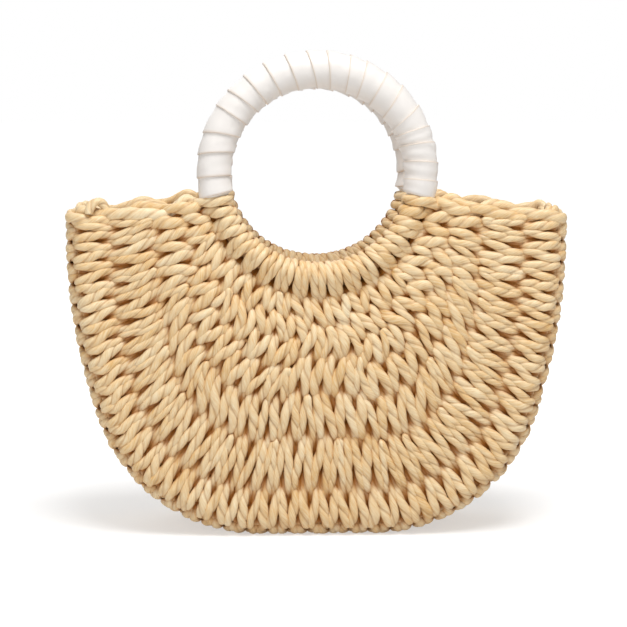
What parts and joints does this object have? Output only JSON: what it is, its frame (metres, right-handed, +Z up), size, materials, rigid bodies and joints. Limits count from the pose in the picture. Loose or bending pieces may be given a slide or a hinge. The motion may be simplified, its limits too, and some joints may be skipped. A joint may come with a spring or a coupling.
{
  "type": "straw basket bag",
  "caption": "Half-moon basket bag twined from straw rope, with a gusset, a thick rim and round ring handles wound with satin ribbon.",
  "frame": {"origin": "on the floor, under the middle of the bag", "axes": "+X to the right across the front face, +Y from the front face to the back face, +Z up"},
  "size_m": [0.351, 0.1034, 0.337],
  "materials": {
    "straw": "smooth twisted paper straw with a soft sheen",
    "satin_ribbon": "white satin, soft sheen",
    "ring_core": "plain, hidden under the ribbon and the straw loops"
  },
  "bodies": {
    "root": {"front_face": "straw", "back_face": "straw", "gusset": "straw", "left_rim": "straw", "right_rim": "straw", "front_ring": "ring_core", "back_ring": "ring_core", "front_ring_binding": "straw", "back_ring_binding": "straw", "front_ribbon": "satin_ribbon", "back_ribbon": "satin_ribbon"}
  },
  "joints": []
}
